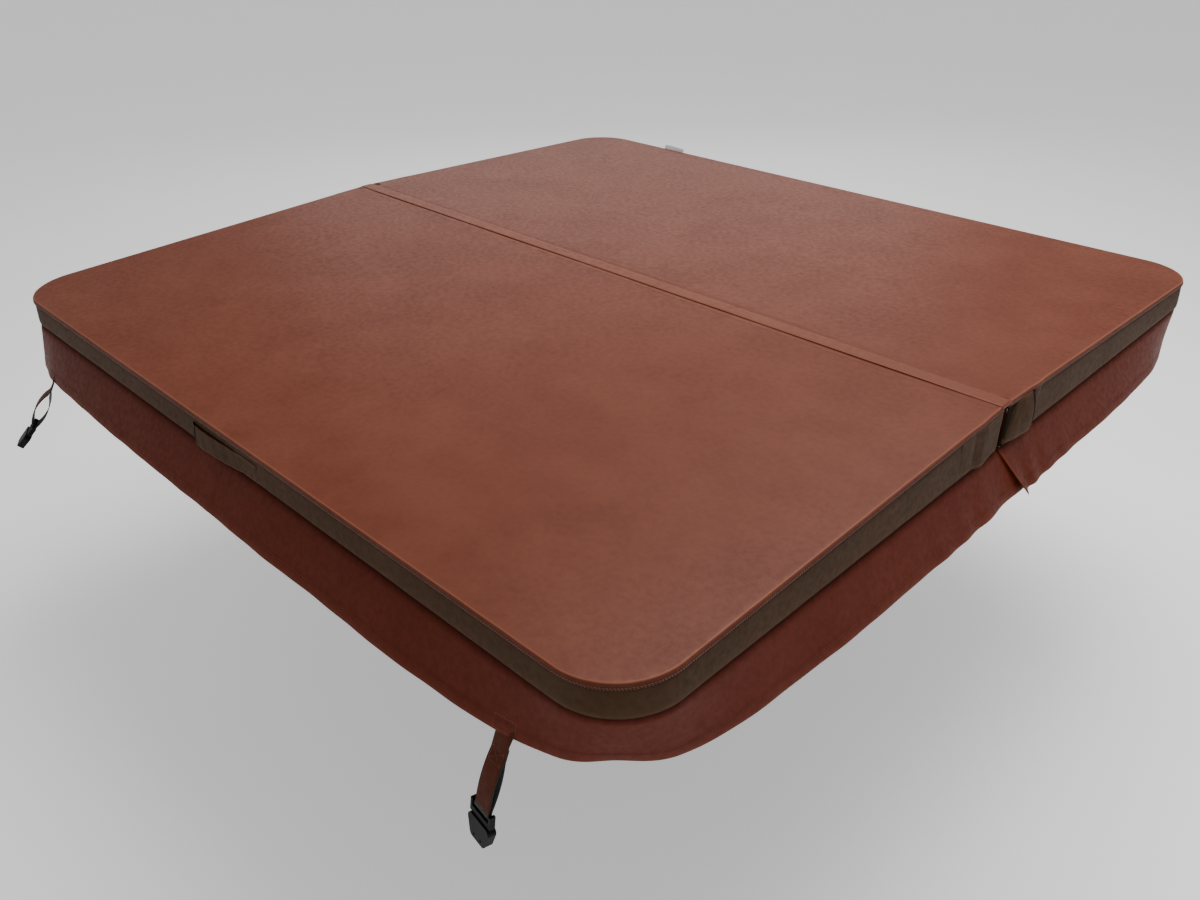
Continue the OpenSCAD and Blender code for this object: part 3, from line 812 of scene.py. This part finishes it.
# The same for the grab handles, by distance along X, with the upper edge's height as well
GRAB_STRAP = [
    (-114, -1.6, 3, 42), (-111.5, 0.6, 2, 43), (-108, 5.6, 1, 43), (-101, 9.2, 1, 42), (-84, 10.4, 1, 41),
    (-56, 10.0, 1, 40.5), (-24, 8.4, 1, 40.5), (8, 6.0, 1.5, 41), (36, 3.4, 2, 41.5), (56, 1.2, 2.5, 42),
    (68, 0.3, 3, 43), (122, 0.2, 3, 43), (126, -1.6, 3, 43),
]


def smoothed(values):
    """The values with their corners eased."""
    return np.convolve(np.pad(values, 2, mode="edge"), np.array([1, 2, 3, 2, 1]) / 9, mode="valid")


HANDLE_T = 1.4 * MM
HANDLE_ROWS = 15
# The near end of the rear fold handles slants by this much from bottom to top, over this length
SLANT, SLANT_RUN = 44 * MM, 95 * MM


def sewn_strap(name, node, body, at, stand, low, high, fall, place, out, seams, slant=0.0):
    """A strap sewn into the band at both ends.

    Along its length, stand is how far it stands out, and low and high are its edges. fall is the
    share of stand kept across its width, and seams are the places of the two cross seams.
    """
    v = np.linspace(0, 1, HANDLE_ROWS)[:, None]
    # Painted shade goes on the ends where the strap leaves the band steeply, for the shaded gap there
    steep = np.clip(np.abs(np.gradient(stand, at)) - 0.25, 0, 0.35) / 0.35
    steep = steep * np.clip(stand / (2 * MM), 0, 1)
    steep = np.max([np.roll(steep, shift) for shift in range(-4, 5)], axis=0)
    at = at[None] + slant * v**1.4 * np.clip(1 - (at - at[0]) / SLANT_RUN, 0, 1)[None] ** 1.5
    z = low + (high - low) * v
    slack = 0.35 * MM * np.sin(at / (6 * MM) + 2 * v) * np.clip(stand / (4 * MM), 0, 1)
    off = stand * fall(v) + slack + 1.2 * MM
    outer, inner = place(at, off, z), place(at, off - HANDLE_T, z)
    rings = np.concatenate([outer, inner[::-1]])
    k, m = rings.shape[:2]
    faces = loft_faces(k, m, wrap_rows=True) + end_faces(k, m)
    strap = outward(new_object(name, rings, faces, BAND))
    # Paler along the strap's long edges: painted highlight, kept off its shaded ends
    wear_and_highlight = np.zeros((k, m))
    wear_and_highlight[[0, k // 2 - 1, k // 2, k - 1]] = 0.35
    mark(strap, "wear_and_highlight", (wear_and_highlight * (1 - steep)).ravel())
    mark(strap, "painted_shade", np.tile(0.9 * smooth(steep), (k, 1)).ravel())
    finished(strap, body, "band_vinyl", node)
    lines = [(outer[row] + out * STITCH_LIFT, out) for row in (1, HANDLE_ROWS - 2)]
    for spot in seams:
        column = int(np.argmin(np.abs(at[HANDLE_ROWS // 2] - spot)))
        lines.append((outer[1:-1, column] + out * STITCH_LIFT, out))
    stitches(f"{name}_stitches", lines, body, "band_vinyl", (4.5, 3.2, 0.6))


FOLD_SEAMS = {REAR: (16 * MM, 143 * MM), FRONT: (16 * MM, 113 * MM)}
GRAB_SEAMS = (-106 * MM, 112 * MM)

for side, half in HALF_NAME.items():
    table = np.array(FOLD_STRAP[side]) * MM
    y = np.linspace(table[0, 0], table[-1, 0], 97)
    stand, low = [smoothed(np.interp(y, table[:, 0], table[:, i])) for i in (1, 2)]
    for end in (LEFT, RIGHT):
        sewn_strap(
            f"{half}_{END_NAME[end]}_fold_strap", f"{half}_fold_handle_{END_NAME[end]}", f"{half}_half",
            y, stand, low, top_z(y) - 8.5 * MM, lambda v: 1 - 0.8 * v**2.6 - 0.18 * (1 - v) ** 3,
            lambda at, off, z: np.stack([end * (HALF_W - BAND_IN + off), side * at, z + 0 * off], 2),
            np.array([float(end), 0.0, 0.0]), FOLD_SEAMS[side], SLANT if side == REAR else 0.0,
        )
    table = np.array(GRAB_STRAP) * MM
    x = np.linspace(table[0, 0], table[-1, 0], 161)
    stand, low, high = [smoothed(np.interp(x, table[:, 0], table[:, i])) for i in (1, 2, 3)]
    sewn_strap(
        f"{half}_grab_strap", f"{half}_grab_handle", f"{half}_half", x, stand, low, high,
        lambda v: 1 - 0.5 * v**1.6,
        lambda at, off, z: np.stack([at + 0 * off, side * (HALF_L - BAND_IN + off), z + 0 * off], 2),
        np.array([0.0, float(side), 0.0]), GRAB_SEAMS,
    )


# ---- Hinge strip ----

STRIP_REAR = 17.5 * MM
STRIP_FRONT = -19.5 * MM
STRIP_T = 1.1 * MM
# Length at each end that turns down over the top's rolled edge
STRIP_TURN = 12 * MM
strip_y = np.concatenate([
    [STRIP_REAR - 1.2 * MM], np.linspace(STRIP_REAR, STRIP_FRONT, 23), [STRIP_FRONT + 1.2 * MM]
])
strip_x = np.concatenate([
    -HALF_W + STRIP_TURN * (1 - np.cos(np.linspace(0, math.pi / 2, 9))),
    np.linspace(-HALF_W + 0.02, HALF_W - 0.02, 150),
    HALF_W - STRIP_TURN * (1 - np.cos(np.linspace(math.pi / 2, 0, 9))),
])
from_end = HALF_W - np.abs(strip_x)
turn_down = -(ROLL_R - np.sqrt(np.maximum(ROLL_R**2 - np.maximum(ROLL_R - from_end, 0) ** 2, 0)))
grid_x, grid_y = np.meshgrid(strip_x, strip_y)
edge_share = np.abs(grid_y - (STRIP_REAR + STRIP_FRONT) / 2) / ((STRIP_REAR - STRIP_FRONT) / 2)
rise = 1.7 * MM - 0.9 * MM * smooth((edge_share - 0.72) / 0.28)
slack = 0.25 * MM * np.sin(grid_x / 0.047) * np.sin(grid_x / 0.21)
strip_z = FOLD_H - 0.9 * MM + rise + slack + turn_down[None]
strip_z[[0, -1]] -= 1.4 * MM
points = np.stack([grid_x, grid_y, strip_z], 2).reshape(-1, 3)
under = points.copy()
under[:, 2] -= STRIP_T
k, m = strip_z.shape
faces = loft_faces(k, m) + [f[::-1] for f in loft_faces(k, m, start=k * m)]
rim = border(k, m)
faces += [[a, b, b + k * m, a + k * m] for a, b in zip(rim, rim[1:] + rim[:1])]
strip = outward(new_object("hinge_strip_sheet", np.vstack([points, under]), faces, TOP))
# Painted highlight along the raised middle of the strip
strip_highlight = 0.12 * smooth((1 - edge_share) * 4)
mark(strip, "wear_and_highlight", np.tile(strip_highlight.ravel(), 2))
bridged(strip, "hinge_strip")
for side, y in ((REAR, STRIP_REAR - 3.2 * MM), (FRONT, STRIP_FRONT + 3.2 * MM)):
    x = np.linspace(-HALF_W + 6 * MM, HALF_W - 6 * MM, 200)
    line = np.column_stack([x, np.full(200, y), np.full(200, FOLD_H + 0.4 * MM)])
    half = HALF_NAME[side]
    stitches(f"{half}_strip_stitches", [(line, [0, 0, 1])], f"{half}_half", "top_vinyl", (5.5, 4.2, 0.7))

# The reinforcing tape under the strip
TAPE_HALF_W, TAPE_IN = 14 * MM, 10 * MM
x = np.linspace(-HALF_W + TAPE_IN, HALF_W - TAPE_IN, 120)
y = np.linspace(TAPE_HALF_W, -TAPE_HALF_W, 15)
grid_x, grid_y = np.meshgrid(x, y)
tape = np.stack([grid_x, grid_y, np.full(grid_x.shape, FOLD_H - 2.6 * MM)], 2)
backing = new_object("hinge_tape_sheet", tape, loft_faces(15, 120), WEBBING)
backing.modifiers.new("thick", "SOLIDIFY").thickness = 1.0 * MM
bridged(backing, "hinge_reinforcement")

# The steam seal, a foam-filled sleeve on the rear fold face
SEAL_END, SEAL_HALF_T, SEAL_HALF_H, SEAL_Z = 0.955, 7.2 * MM, 29 * MM, 49 * MM
SEAL_AROUND = 24
ends = SEAL_END - np.array([0, 2, 7]) * MM
x = np.concatenate([-ends, np.linspace(-0.94, 0.94, 90), ends[::-1]])
turn = np.linspace(0, 2 * math.pi, SEAL_AROUND + 1)[:-1]
size = np.sqrt(np.clip((SEAL_END + 1.2 * MM - np.abs(x)) / (16 * MM), 0.06, 1))
dimple = 1 + 0.03 * np.sin(x / 0.03)
seal_y = 0.3 * MM + SEAL_HALF_T * np.sign(np.cos(turn)) * np.abs(np.cos(turn)) ** 0.6
seal_z = SEAL_HALF_H * np.sign(np.sin(turn)) * np.abs(np.sin(turn)) ** 0.6
rings = np.stack([
    np.tile(x[:, None], (1, SEAL_AROUND)), size[:, None] * (seal_y[None] * dimple[:, None]),
    SEAL_Z + size[:, None] * seal_z[None],
], 2)
faces = loft_faces(len(x), SEAL_AROUND, wrap_columns=True)
first_ring = list(range(SEAL_AROUND))
faces += [first_ring, [i + (len(x) - 1) * SEAL_AROUND for i in first_ring][::-1]]
seal = outward(new_object("steam_seal_pad", rings, faces, LINER))
finished(seal, "rear_half", "liner_fabric", "steam_seal")


# ---- Zippers ----

ZIP_Y = 27 * MM
CHAIN_END = HALF_W - 75 * MM
TOOTH_COUNT = 620
# The two tapes, by distance from the fold, and how far their ends are from the sides
ZIP_TAPES = ((10 * MM, ZIP_Y - 0.8 * MM), (ZIP_Y + 0.8 * MM, 48 * MM))
ZIP_TAPE_IN = 8 * MM
for side, half in HALF_NAME.items():
    for index, (low, high) in enumerate(ZIP_TAPES):
        x = np.linspace(-HALF_W + ZIP_TAPE_IN, HALF_W - ZIP_TAPE_IN, 80)
        centre = np.column_stack([x, np.full(80, side * (low + high) / 2), np.full(80, 0.8 * MM)])
        tape = ribbon(
            f"{half}_zip_tape_{index}", centre, np.tile([0.0, 1.0, 0.0], (80, 1)), high - low, 1.0 * MM,
            WEBBING,
        )
        finished(tape, f"{half}_half", "webbing", *([f"{half}_zipper_tape"] if index == 0 else []))
    # Interlocking teeth, every other one from the other tape
    x = np.linspace(-CHAIN_END, CHAIN_END, TOOTH_COUNT)
    shift = np.where(np.arange(TOOTH_COUNT) % 2 == 0, -1, 1) * 0.7 * MM
    corner = np.array([(a, b, c) for a in (-1, 1) for b in (-1, 1) for c in (-1, 1)])
    size = np.array([1.05 * MM, 2.2 * MM, 0.75 * MM])
    taper = np.where(corner[:, 2:] < 0, 0.7, 1.0) * np.array([1, 1, 0]) + np.array([0, 0, 1])
    one = corner * size * taper
    points = one[None] + np.column_stack([x, ZIP_Y + shift, np.full(TOOTH_COUNT, -0.5 * MM)])[:, None]
    cube = np.array([[0, 1, 3, 2], [4, 6, 7, 5], [0, 4, 5, 1], [2, 3, 7, 6], [0, 2, 6, 4], [1, 5, 7, 3]])
    faces = (cube[None] + 8 * np.arange(TOOTH_COUNT)[:, None, None]).reshape(-1, 4)
    teeth = new_object(f"{half}_zip_teeth", flip(points, side), faces, STEEL, flat=True)
    finished(outward(teeth), f"{half}_half", "zip_metal", f"{half}_zipper_chain")


# ---- Moulded and metal parts: the CAD solids with their edges rounded ----


def rounded(node, name, body, slot, material, radius):
    """A CAD node's solid with its edges rounded."""
    bm = bmesh.new()
    bm.from_mesh(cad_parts[node].data)
    bmesh.ops.remove_doubles(bm, verts=bm.verts[:], dist=1e-6)
    bmesh.ops.dissolve_limit(bm, angle_limit=math.radians(4), verts=bm.verts[:], edges=bm.edges[:])
    mesh = bpy.data.meshes.new(name)
    bm.to_mesh(mesh)
    bm.free()
    mesh.materials.append(material)
    obj = linked(name, mesh)
    bevel = obj.modifiers.new("round", "BEVEL")
    bevel.width = radius
    bevel.segments = 3
    bevel.limit_method = "ANGLE"
    bevel.angle_limit = math.radians(32)
    mesh.polygons.foreach_set("use_smooth", [True] * len(mesh.polygons))
    weighted = obj.modifiers.new("normals", "WEIGHTED_NORMAL")
    weighted.keep_sharp = True
    return finished(obj, body, slot, node)


for side, half in HALF_NAME.items():
    rounded(f"{half}_drain_grommets", f"{half}_eyelets", f"{half}_half", "brass_grommet", BRASS, 0.25 * MM)
    for part in ("slider", "pull"):
        node = f"{half}_zip_{part}"
        rounded(node, f"{half}_{part}", f"{node}_body", "zip_metal", STEEL, 0.4 * MM)


# ---- Tie-downs ----

STRAP_X = 0.815
STRAP_W = 38 * MM
FACING_W = STRAP_W - 1.5 * MM
PIVOT_DROP = 7 * MM
# In a strap's own frame: where its two layers part, and the buckle's bar with the webbing's bend round it
FLAT_END = -30 * MM
BAR_Z, BAR_BEND = -129 * MM, 3.9 * MM
LOOP_Z = (FLAT_END + BAR_Z) / 2
LOOP_HALF = (FLAT_END - BAR_Z) / 2 + 2.5 * MM
WEB_T = 1.5 * MM
BOX_TOP, BOX_LOW, BOX_HALF_W = -22 * MM, -44 * MM, STRAP_W / 2 - 5 * MM
strap_u = CORNER_RUN + HALF_W - CORNER_R - STRAP_X
hem_turn = math.degrees(
    math.atan((EDGE_LEAN - CORNER_LEAN) * 2 * strap_u * LEAN_RUN**2 / (strap_u**2 + LEAN_RUN**2) ** 2)
)
# Outward lean, turn and loop opening of each tie-down, as in the CAD part
HANG = {
    (REAR, RIGHT): (20, hem_turn, 5 * MM), (REAR, LEFT): (20, hem_turn, 5 * MM),
    (FRONT, RIGHT): (20, -8, 5 * MM), (FRONT, LEFT): (34, 28, 13 * MM),
}


def strap_frame(side, end):
    """The strap's own frame in the row frame: its axes as columns, and its pivot."""
    tilt, turn, _ = HANG[side, end]
    low = LEFT_CORNER_LEAN if side == FRONT and end == LEFT else CORNER_LEAN
    d = lean(strap_u, low, EDGE_LEAN)
    axes = np.array(
        (Matrix.Rotation(math.radians(-end * turn), 3, "Z") @ Matrix.Rotation(math.radians(tilt), 3, "X"))
    )
    pivot = np.array([
        end * STRAP_X, HALF_L - 1.7 * MM + d, -math.sqrt(SKIRT_LEN**2 - d * d) - PIVOT_DROP
    ])
    turn_over = np.diag([1, side, 1])
    return turn_over @ axes, turn_over @ pivot


def lens(z, rise):
    """Half the loop's opening at height z."""
    r = (LOOP_HALF**2 + rise**2) / (2 * rise)
    return np.maximum(0, np.sqrt(np.maximum(r * r - (z - LOOP_Z) ** 2, 0)) - (r - rise))


def loop_section(rise):
    """The webbing loop seen from its side: points (out, up) from the hem round the bar and back."""
    z = np.linspace(-2 * MM, FLAT_END, 8)
    lower = np.linspace(FLAT_END - 3 * MM, BAR_Z + 6 * MM, 26)
    local = [(0.0, v) for v in z]
    local += [(lens(v, rise) + 0.2 * MM, v) for v in lower]
    local += [
        (BAR_BEND * math.cos(a), BAR_Z - BAR_BEND * math.sin(a)) for a in np.radians(np.linspace(20, 160, 9))
    ]
    local += [(-lens(v, rise) - 0.2 * MM, v) for v in lower[::-1]]
    local += [(-1.7 * MM, v) for v in z[::-1][:-2]]
    local = np.pad(local, ((2, 2), (0, 0)), mode="edge")
    kernel = [0.1, 0.2, 0.4, 0.2, 0.1]
    eased = np.column_stack([np.convolve(local[:, i], kernel, mode="valid") for i in (0, 1)])
    return eased, len(z) + len(lower)


def box_cross(pivot, axes, rise):
    """A box with a cross of stitch lines on the strap's outer side."""
    corners = [(-BOX_HALF_W, BOX_TOP), (BOX_HALF_W, BOX_TOP), (BOX_HALF_W, BOX_LOW), (-BOX_HALF_W, BOX_LOW)]
    runs = corners + [corners[0], corners[2]], [corners[1], corners[3]]
    lines = []
    for run in runs:
        for (x0, z0), (x1, z1) in zip(run[:-1], run[1:]):
            t = np.linspace(0, 1, 9)
            xs, zs = x0 + (x1 - x0) * t, z0 + (z1 - z0) * t
            ys = np.where(zs > FLAT_END, 0, lens(zs, rise) + 0.2 * MM) + 1.75 * MM
            path = np.array([pivot + axes @ np.array(v) for v in zip(xs, ys, zs)])
            lines.append((path, axes[:, 1]))
    return lines


def sewn_on_hem(side, stations, f):
    """A row of points for thread on the skirt's outer face, above or on the hem."""
    return skirt_surface(side, *stations, f, THREAD_DEPTH if f > HEM_AT else -0.05 * MM)


for side, half in HALF_NAME.items():
    table, s = skirt_data[side]
    for end in (LEFT, RIGHT):
        tag = f"{half}_{END_NAME[end]}"
        axes, pivot = strap_frame(side, end)
        _, _, rise = HANG[side, end]
        on_edge = table[:, 3] > 0.999
        row = int(np.argmin(np.where(on_edge, np.abs(table[:, 0] - end * STRAP_X), 9)))
        # Behind the hem: the webbing runs down the skirt's inner face
        behind, behind_across = [], []
        beside = table[row - 1 : row + 2], s[row - 1 : row + 2]
        for f in (0.66, 0.74, 0.82, 0.90, 0.96):
            line = flip(skirt_surface(side, *beside, f, 4.2 * MM), side)
            behind.append(line[1])
            behind_across.append(unit(line[0] - line[2]))
        width_axis = axes[:, 0]
        if behind_across[-1] @ width_axis < 0:
            behind_across = [-v for v in behind_across]
        local, outer_count = loop_section(rise)
        points = [pivot + axes @ np.array([0, a, b]) for a, b in local]
        centre = np.array(behind + points)
        across = np.array(behind_across + [width_axis] * len(points))
        for i in range(1, 4):  # the webbing twists from the hem's line to its own
            across[len(behind) - i] = (across[len(behind) - i] * i + width_axis * (4 - i)) / 4
        web = ribbon(f"{tag}_webbing", centre, across, STRAP_W, WEB_T, WEBBING)
        body = f"{tag}_strap_body"
        bridged(web, f"{tag}_strap")
        # The vinyl facing on its outer side
        face_count = len(behind) + outer_count
        c, a = centre[:face_count], across[:face_count]
        along = unit(np.gradient(c, axis=0))
        normal = np.cross(along, unit(a - along * (a * along).sum(1)[:, None]))
        outside = normal * np.sign((normal @ axes[:, 1])[:, None])
        cover = ribbon(f"{tag}_strap_face", c + outside * 1.2 * MM, a, FACING_W, 0.9 * MM, STRAP)
        mark(cover, "wear_and_highlight", np.full(len(cover.data.vertices), 0.04))
        bridged(cover, f"{tag}_facing")
        stitches(
            f"{tag}_cross_stitches", box_cross(pivot, axes, rise), body, "strap_vinyl", (3.4, 2.6, 0.6)
        )
        # The patch behind the hem, and its stitches on the skirt's outer face
        stations = table[row - 5 : row + 6], s[row - 5 : row + 6]
        patch_rows = [
            skirt_surface(side, *stations, f, depth)
            for f, depth in [(0.70, 2.2 * MM), (0.70, 3.2 * MM)]
            + [(g, 3.4 * MM) for g in (0.76, 0.83, 0.9, 0.96)] + [(0.965, 2.2 * MM)]
        ]
        patch = new_object(
            f"{tag}_patch", flip(np.concatenate(patch_rows), side), loft_faces(len(patch_rows), 11), SKIRT
        )
        mark(outward(patch), "wear_and_highlight", np.zeros(len(patch.data.vertices)))
        finished(patch, f"{half}_half", "skirt_vinyl", f"{tag}_anchor")
        sewn = [sewn_on_hem(side, stations, f)[2:-2] for f in (0.74, 0.96)]
        for column in (2, 8):
            sewn.append(
                np.array([sewn_on_hem(side, stations, f)[column] for f in np.linspace(0.74, 0.96, 9)])
            )
        out = flip([0, 1, -0.25], side)
        stitches(
            f"{tag}_patch_stitches", [(flip(p, side), out) for p in sewn], f"{half}_half",
            "skirt_vinyl", (3.6, 2.8, 0.6),
        )
        rounded(f"{tag}_buckle", f"{tag}_clip", f"{tag}_buckle_body", "black_plastic", NYLON, 1.1 * MM)
        rounded(f"{tag}_socket", f"{tag}_lock", f"{tag}_socket_body", "black_plastic", NYLON, 1.6 * MM)


# ---- Care label ----

label_low, label_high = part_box("care_label")
gu, gv = np.meshgrid(np.linspace(0, 1, 29), np.linspace(0, 1, 11))
curl = 1.5 * MM * np.sin(gu * 4.4 + 0.5) * gv**2
points = np.stack([
    label_low.x + (label_high.x - label_low.x) * gu,
    HALF_L + 0.9 * MM + 5.4 * MM * gv**2.2 + curl,
    label_low.z - 2 * MM + (label_high.z - label_low.z + 1.5 * MM + 1.2 * MM * np.sin(gu * 5)) * gv,
], 2)
label = outward(new_object("blank_label", points, loft_faces(11, 29), LABEL))
label.modifiers.new("thick", "SOLIDIFY").thickness = 0.35 * MM
finished(label, "rear_half", "label_film", "care_label")


# ---- Floor, lights and camera ----

FLOOR_Z, FLOOR_R = -0.9, 30
floor_mesh = bpy.data.meshes.new("floor")
corners = [(x * FLOOR_R, y * FLOOR_R, FLOOR_Z) for x, y in ((-1, -1), (1, -1), (1, 1), (-1, 1))]
floor_mesh.from_pydata(corners, [], [(0, 1, 2, 3)])
floor = linked("floor", floor_mesh)
ground = Nodes("floor_look")
tint = ground.mix(ground.noise(2.0), linear("#f4f4f3"), linear("#fbfbfb"))
ground.set(ground.shader, "Emission Color", (1.0, 1.0, 1.0, 1.0))
floor_mesh.materials.append(ground.finish(tint, 0.8, Emission_Strength=0.35))
floor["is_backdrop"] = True


def area_light(name, place, target, size, power):
    """A soft white panel that faces its target."""
    light = bpy.data.lights.new(name, "AREA")
    light.shape = "RECTANGLE"
    light.size, light.size_y = size
    light.energy = power
    obj = linked(name, light)
    obj.location = place
    obj.rotation_euler = (Vector(target) - Vector(place)).to_track_quat("-Z", "Y").to_euler()


area_light("key", (0.3, 0.95, 3.2), (0, 0.4, 0), (3.0, 3.0), 160)
area_light("fill", (3.2, 1.2, 0.5), (0.9, 0.7, 0.0), (2.4, 1.2), 6)
area_light("backdrop", (-3.4, 3.6, 1.5), (0.2, 0.2, 0.0), (5.0, 1.6), 26)

world = bpy.data.worlds.new("studio")
bpy.context.scene.world = world
world.use_nodes = True
sky = world.node_tree.nodes["Background"]
sky.inputs["Color"].default_value = (1.0, 1.0, 1.0, 1.0)
sky.inputs["Strength"].default_value = 0.42

# The camera fitted to the cover's straight edges and seams
AZIMUTH, ELEVATION, ROLL = math.radians(45.16), math.radians(30.86), math.radians(-0.894)
camera_data = bpy.data.cameras.new("camera")
camera_data.sensor_width = 36.0
camera_data.lens = 30.76
camera = linked("camera", camera_data)
camera.matrix_world = (
    Matrix.Translation((1.6648, -1.6888, 0.9976)) @ Matrix.Rotation(AZIMUTH, 4, "Z")
    @ Matrix.Rotation(math.pi / 2 - ELEVATION, 4, "X") @ Matrix.Rotation(ROLL, 4, "Z")
)
bpy.context.scene.camera = camera

size = {"cad": cad_bounds, "visual": [list(corner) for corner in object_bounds()]}
